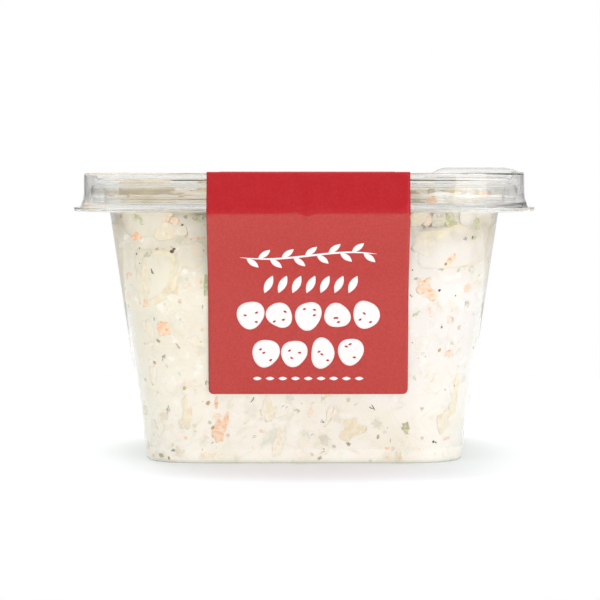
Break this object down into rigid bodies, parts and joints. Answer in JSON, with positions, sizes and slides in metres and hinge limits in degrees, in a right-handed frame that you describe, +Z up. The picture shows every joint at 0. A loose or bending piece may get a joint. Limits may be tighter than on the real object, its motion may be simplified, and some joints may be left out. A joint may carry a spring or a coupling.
{
  "type": "potato salad in a shut clear deli tub",
  "caption": "Square tapered clear tub with a snap lid and a strap label, full of potato salad that shows through its walls.",
  "frame": {"origin": "on the ground under the middle of the tub", "axes": "+Z up, +X to the right seen from the label's front, the label's front faces -Y"},
  "size_m": [0.1132, 0.1146, 0.0725],
  "materials": {
    "clear_tub_plastic": "clear formed plastic sheet",
    "clear_lid_plastic": "clear formed plastic sheet",
    "red_label_film": "satin printed film",
    "potato_salad": "moist cream dressing with potato, carrot and celery pieces"
  },
  "bodies": {
    "root": {"tub": "clear_tub_plastic", "lid": "clear_lid_plastic", "label": "red_label_film", "salad": "potato_salad"}
  },
  "joints": []
}
